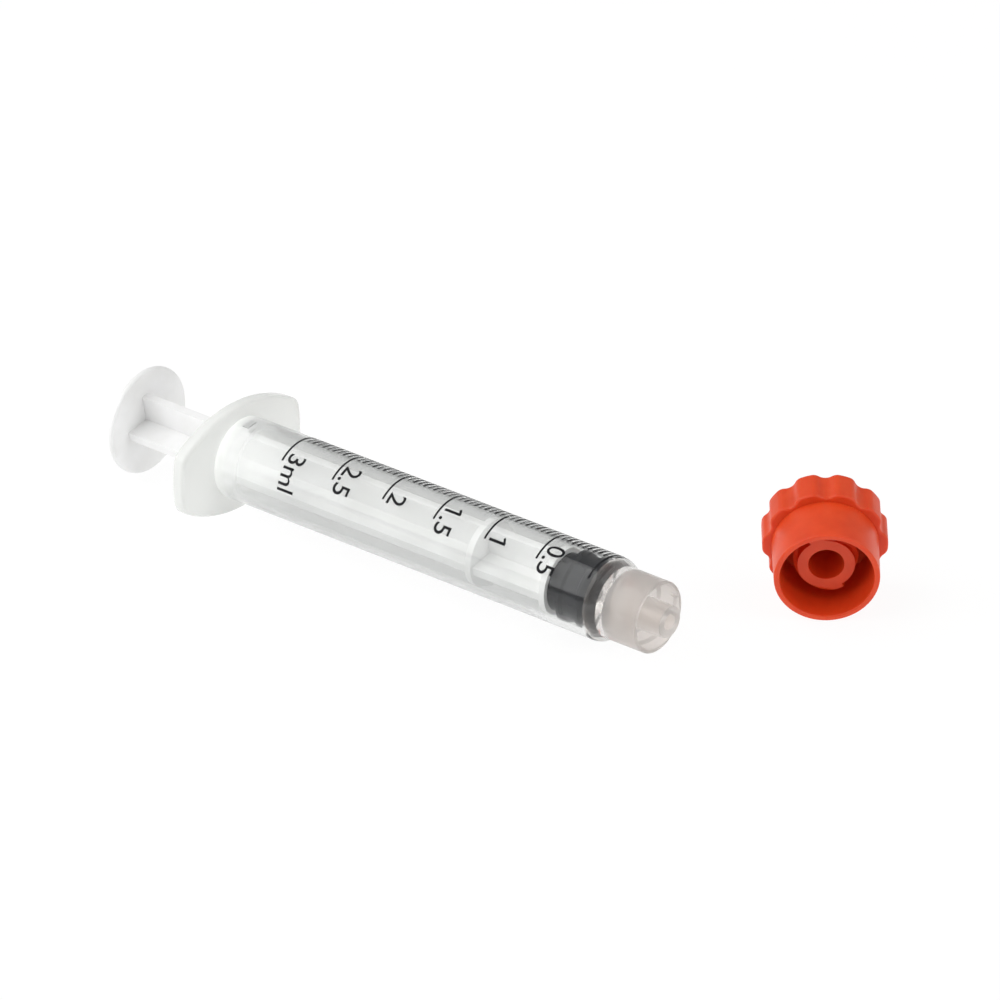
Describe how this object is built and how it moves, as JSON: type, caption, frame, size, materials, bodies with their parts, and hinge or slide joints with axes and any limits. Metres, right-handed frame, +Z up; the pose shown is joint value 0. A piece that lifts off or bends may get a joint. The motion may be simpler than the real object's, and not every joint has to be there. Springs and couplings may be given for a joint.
{
  "type": "oral syringe",
  "caption": "Small medicine syringe with a ribbed plunger, rubber stopper, oval finger flange, threaded collar tip and a fluted red screw cap lying beside it.",
  "frame": {"origin": "on the barrel's axis, in the front face of the finger flange", "axes": "+X along the barrel out of the tip, Y along the finger flange's long way, +Z up"},
  "size_m": [0.0943, 0.0456, 0.0152],
  "materials": {
    "barrel_plastic": "frosted translucent polypropylene",
    "plunger_plastic": "moulded white, satin",
    "stopper_rubber": "smooth dark rubber",
    "cap_plastic": "moulded orange-red, satin"
  },
  "bodies": {
    "barrel": {"barrel": "barrel_plastic"},
    "plunger": {"plunger_rod": "plunger_plastic", "stopper": "stopper_rubber"},
    "cap": {"tip_cap": "cap_plastic"}
  },
  "joints": [
    {"name": "plunger_slide", "type": "slide", "parent": "barrel", "child": "plunger", "axis": [-1, 0, 0], "range_m": [0, 0.049]},
    {"name": "cap_lift", "type": "slide", "parent": "barrel", "child": "cap", "axis": [0, 0, 1], "range_m": [0, 0.06]}
  ]
}
